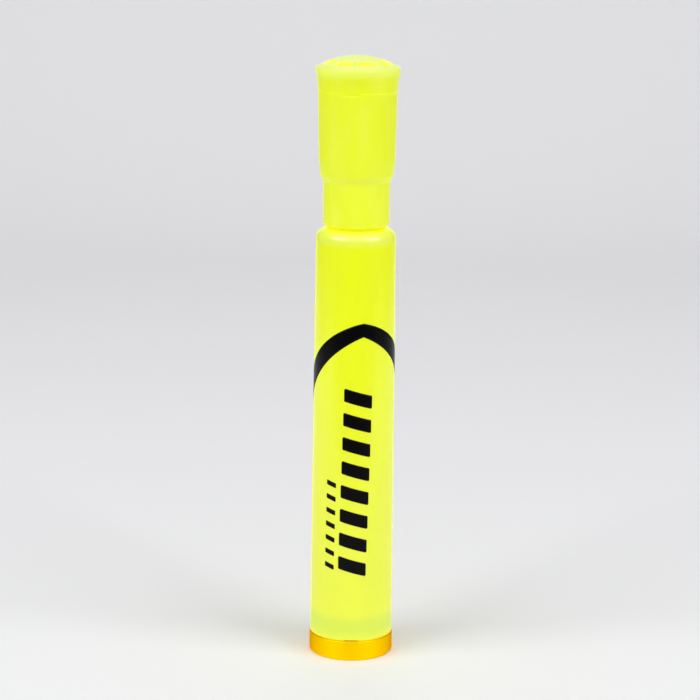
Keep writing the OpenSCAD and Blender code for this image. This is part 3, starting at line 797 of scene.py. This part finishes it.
def nib_ring(height, shrink, lean):
    """One ring of the nib at a height in mm, drawn in by shrink and sloped by lean."""
    half = edge_half + (nib_radius - edge_half) * min(1.0, (nib_tip - height) / wedge_height)
    points = []
    for k in range(ring_points):
        angle = 2 * math.pi * k / ring_points
        x = (nib_radius - shrink) * math.cos(angle)
        y = (nib_radius - shrink) * math.sin(angle)
        y = half * math.tanh(y / half * squareness) / math.tanh(squareness) if half < nib_radius else y
        y = max(-half + shrink, min(half - shrink, y))
        drop = slope * lean * (nib_radius - 0.4 - x) / (2 * nib_radius - 0.4)
        points.append((x * mm, y * mm, (height - max(0.0, drop)) * mm))
    return points


levels = [(nib_foot, 0.3, 0), (nib_foot + 0.3, 0, 0), (nib_tip - 8, 0, 0), (nib_tip - 7.9, 0, 0)]
for step in range(17):
    share = step / 16
    levels.append((nib_tip - 7 + 6.9 * share, 0, share ** 2))
levels += [(nib_tip - 0.05, 0.05, 1), (nib_tip, 0.15, 1), (nib_tip, 0.35, 1)]
verts = [point for height, shrink, lean in levels for point in nib_ring(height, shrink, lean)]
faces = []
for i in range(len(levels) - 1):
    for k in range(ring_points):
        right = (k + 1) % ring_points
        faces.append((i * ring_points + k, i * ring_points + right,
                      (i + 1) * ring_points + right, (i + 1) * ring_points + k))
faces.append(tuple(range(ring_points)))
faces.append(tuple(range(len(verts) - ring_points, len(verts))))
mesh = bpy.data.meshes.new("felt_nib")
mesh.from_pydata(verts, [], faces)
felt_nib = link("felt_nib", mesh, finishes["bonded_felt"])
print("felt_nib", len(faces), "faces")
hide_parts("nib")
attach(felt_nib, "cartridge")

# %% [markdown]
# ## The return spring
# A spring is a wire on a helix, with its first and last turns closed flat so that it stands square.
# A resampled line gives the points of the wire, and each point's own number gives its angle and its
# height. Three map-range nodes add up to the height: a closed turn, the open turns, a closed turn.

# %% Spring
_, spring_foot, spring_top = box_mm("return_spring")
spring_sizes = {"Turns": 9.0, "Points a turn": 32, "Mean radius": 4.12 * mm, "Wire radius": 0.3 * mm,
                "Foot": (spring_foot + 0.3) * mm, "Closed rise": 0.63 * mm,
                "Open rise": (spring_top - spring_foot - 0.6 - 1.26) * mm}
tree, size, result = new_tree("coil_spring", spring_sizes)
count = add(tree, "ShaderNodeMath", {0: size["Turns"], 1: size["Points a turn"], 2: 1.0},
            operation="MULTIPLY_ADD").outputs[0]
wire_line = add(tree, "GeometryNodeCurvePrimitiveLine", {}).outputs[0]
wire = add(tree, "GeometryNodeResampleCurve", {"Curve": wire_line, "Count": count}).outputs[0]
index = add(tree, "GeometryNodeInputIndex").outputs[0]
turned = add(tree, "ShaderNodeMath", {0: index, 1: size["Points a turn"]}, operation="DIVIDE").outputs[0]
angle = add(tree, "ShaderNodeMath", {0: turned, 1: 2 * math.pi}, operation="MULTIPLY").outputs[0]
last = add(tree, "ShaderNodeMath", {0: size["Turns"], 1: 1.0}, operation="SUBTRACT").outputs[0]
first_rise = add(tree, "ShaderNodeMapRange", {"Value": turned, "From Max": 1.0,
                                              "To Max": size["Closed rise"]}).outputs[0]
open_rise = add(tree, "ShaderNodeMapRange", {"Value": turned, "From Min": 1.0, "From Max": last,
                                             "To Max": size["Open rise"]}).outputs[0]
last_rise = add(tree, "ShaderNodeMapRange", {"Value": turned, "From Min": last, "From Max": size["Turns"],
                                             "To Max": size["Closed rise"]}).outputs[0]
low_part = add(tree, "ShaderNodeMath", {0: size["Foot"], 1: first_rise}).outputs[0]
high_part = add(tree, "ShaderNodeMath", {0: open_rise, 1: last_rise}).outputs[0]
height = add(tree, "ShaderNodeMath", {0: low_part, 1: high_part}).outputs[0]
cosine = add(tree, "ShaderNodeMath", {0: angle}, operation="COSINE").outputs[0]
sine = add(tree, "ShaderNodeMath", {0: angle}, operation="SINE").outputs[0]
x = add(tree, "ShaderNodeMath", {0: cosine, 1: size["Mean radius"]}, operation="MULTIPLY").outputs[0]
y = add(tree, "ShaderNodeMath", {0: sine, 1: size["Mean radius"]}, operation="MULTIPLY").outputs[0]
spot = add(tree, "ShaderNodeCombineXYZ", {"X": x, "Y": y, "Z": height}).outputs[0]
helix = add(tree, "GeometryNodeSetPosition", {"Geometry": wire, "Position": spot}).outputs[0]
section = add(tree, "GeometryNodeCurvePrimitiveCircle",
              {"Radius": size["Wire radius"], "Resolution": 12}).outputs[0]
coil = add(tree, "GeometryNodeCurveToMesh", {"Curve": helix, "Profile Curve": section,
                                             "Fill Caps": True}).outputs[0]
steel = add(tree, "GeometryNodeSetMaterial", {"Geometry": coil,
                                              "Material": finishes["spring_steel"]}).outputs[0]
tree.links.new(steel, result)
spring = made_by(tree, "coil_spring", spring_sizes, finishes["spring_steel"])
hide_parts("return_spring")
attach(spring, "barrel")
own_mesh(spring)

# %% [markdown]
# ## The paper roll
# A seamless background is a roll of white paper that hangs behind and sweeps forward under the
# highlighter, with a wide bend so that no corner shows. It ends a hand's breadth in front, so the
# barrel mirrors white low down and something darker higher up, which keeps the yellow deep. The path
# is two straight runs and a quarter circle, and each of its points is a pair of vertices.

# %% Paper roll
paper_reach, paper_bend, paper_top, paper_side, paper_front = 0.75, 0.3, 1.8, 0.32, 0.13    # metres
bend_steps = 24


def staged(name, verts, faces, finish, colour, roughness):
    """A smooth sheet of the studio in one plain finish, which isn't part of the highlighter."""
    mesh = bpy.data.meshes.new(name)
    mesh.from_pydata(verts, [], faces)
    for face in mesh.polygons:
        face.use_smooth = True
    plain, tree, shader, place = new_finish(finish, Roughness=roughness)
    shader.inputs["Base Color"].default_value = linear(colour)
    mesh.materials.append(plain)
    sheet = bpy.data.objects.new(name, mesh)
    scene.collection.objects.link(sheet)
    sheet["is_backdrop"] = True
    print(name, len(faces), "faces")


path = [(-paper_front, 0.0), (paper_reach - paper_bend, 0.0)]
for step in range(1, bend_steps + 1):
    sweep = math.radians(90 * step / bend_steps)
    path.append((paper_reach - paper_bend + paper_bend * math.sin(sweep),
                 paper_bend - paper_bend * math.cos(sweep)))
path.append((paper_reach, paper_top))
paper_verts = [(x, y, z) for y, z in path for x in (-paper_side, paper_side)]
paper_faces = [(2 * i, 2 * i + 1, 2 * i + 3, 2 * i + 2) for i in range(len(path) - 1)]
staged("backdrop", paper_verts, paper_faces, "matt_paper", "#F0F0F2", 0.9)

# %% [markdown]
# ## The table
# The roll lies on a grey table, which shows only as the darker mirror image in the plastic. One
# square 2 mm under the paper is enough for that.

# %% Table
table_z = -2 * mm
table_verts = [(-2.5, -2.0, table_z), (2.5, -2.0, table_z), (2.5, 1.0, table_z), (-2.5, 1.0, table_z)]
staged("table", table_verts, [(0, 1, 2, 3)], "grey_laminate", "#707070", 0.6)

# %% [markdown]
# ## The lights
# Two softboxes stand left and right, and they draw the pale arc on the shoulder. A wide one in front
# fills the barrel, and one overhead lights the paper and the crown. All point at the barrel's middle.
# The room adds a faint cool white from everywhere. The Standard view shows colours as they were
# chosen: a film-like view would take the glow out of the yellow.

# %% Lights
aim = Vector((0, 0, 0.06))

world = bpy.data.worlds.new("studio")
scene.world = world
world.use_nodes = True
world.node_tree.nodes["Background"].inputs["Color"].default_value = linear("#F4F5F8")
world.node_tree.nodes["Background"].inputs["Strength"].default_value = 0.12


def softbox(name, place, width, height, power):
    """A rectangular light of a width and height in metres and a power in watts."""
    light = bpy.data.lights.new(name, "AREA")
    light.shape = "RECTANGLE"
    light.size = width
    light.size_y = height
    light.energy = power
    lamp = bpy.data.objects.new(name, light)
    lamp.location = place
    lamp.rotation_euler = (aim - Vector(place)).to_track_quat("-Z", "Y").to_euler()
    scene.collection.objects.link(lamp)
    print(name, power, "W")


softbox("left_softbox", (-0.76, -0.5, 0.76), 0.7, 0.5, 5.6)
softbox("right_softbox", (0.76, -0.5, 0.76), 0.7, 0.5, 5.6)
softbox("front_softbox", (0.0, -0.75, 0.95), 1.4, 0.9, 4.5)
softbox("top_softbox", (0.0, 0.2, 1.25), 1.2, 0.8, 3.3)
scene.view_settings.view_transform = "Standard"

# %% [markdown]
# ## Sizes
# The dressed pieces have to be as large as the imported ones, so the bounds of everything shown
# are taken.

# %% Sizes
low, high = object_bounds()
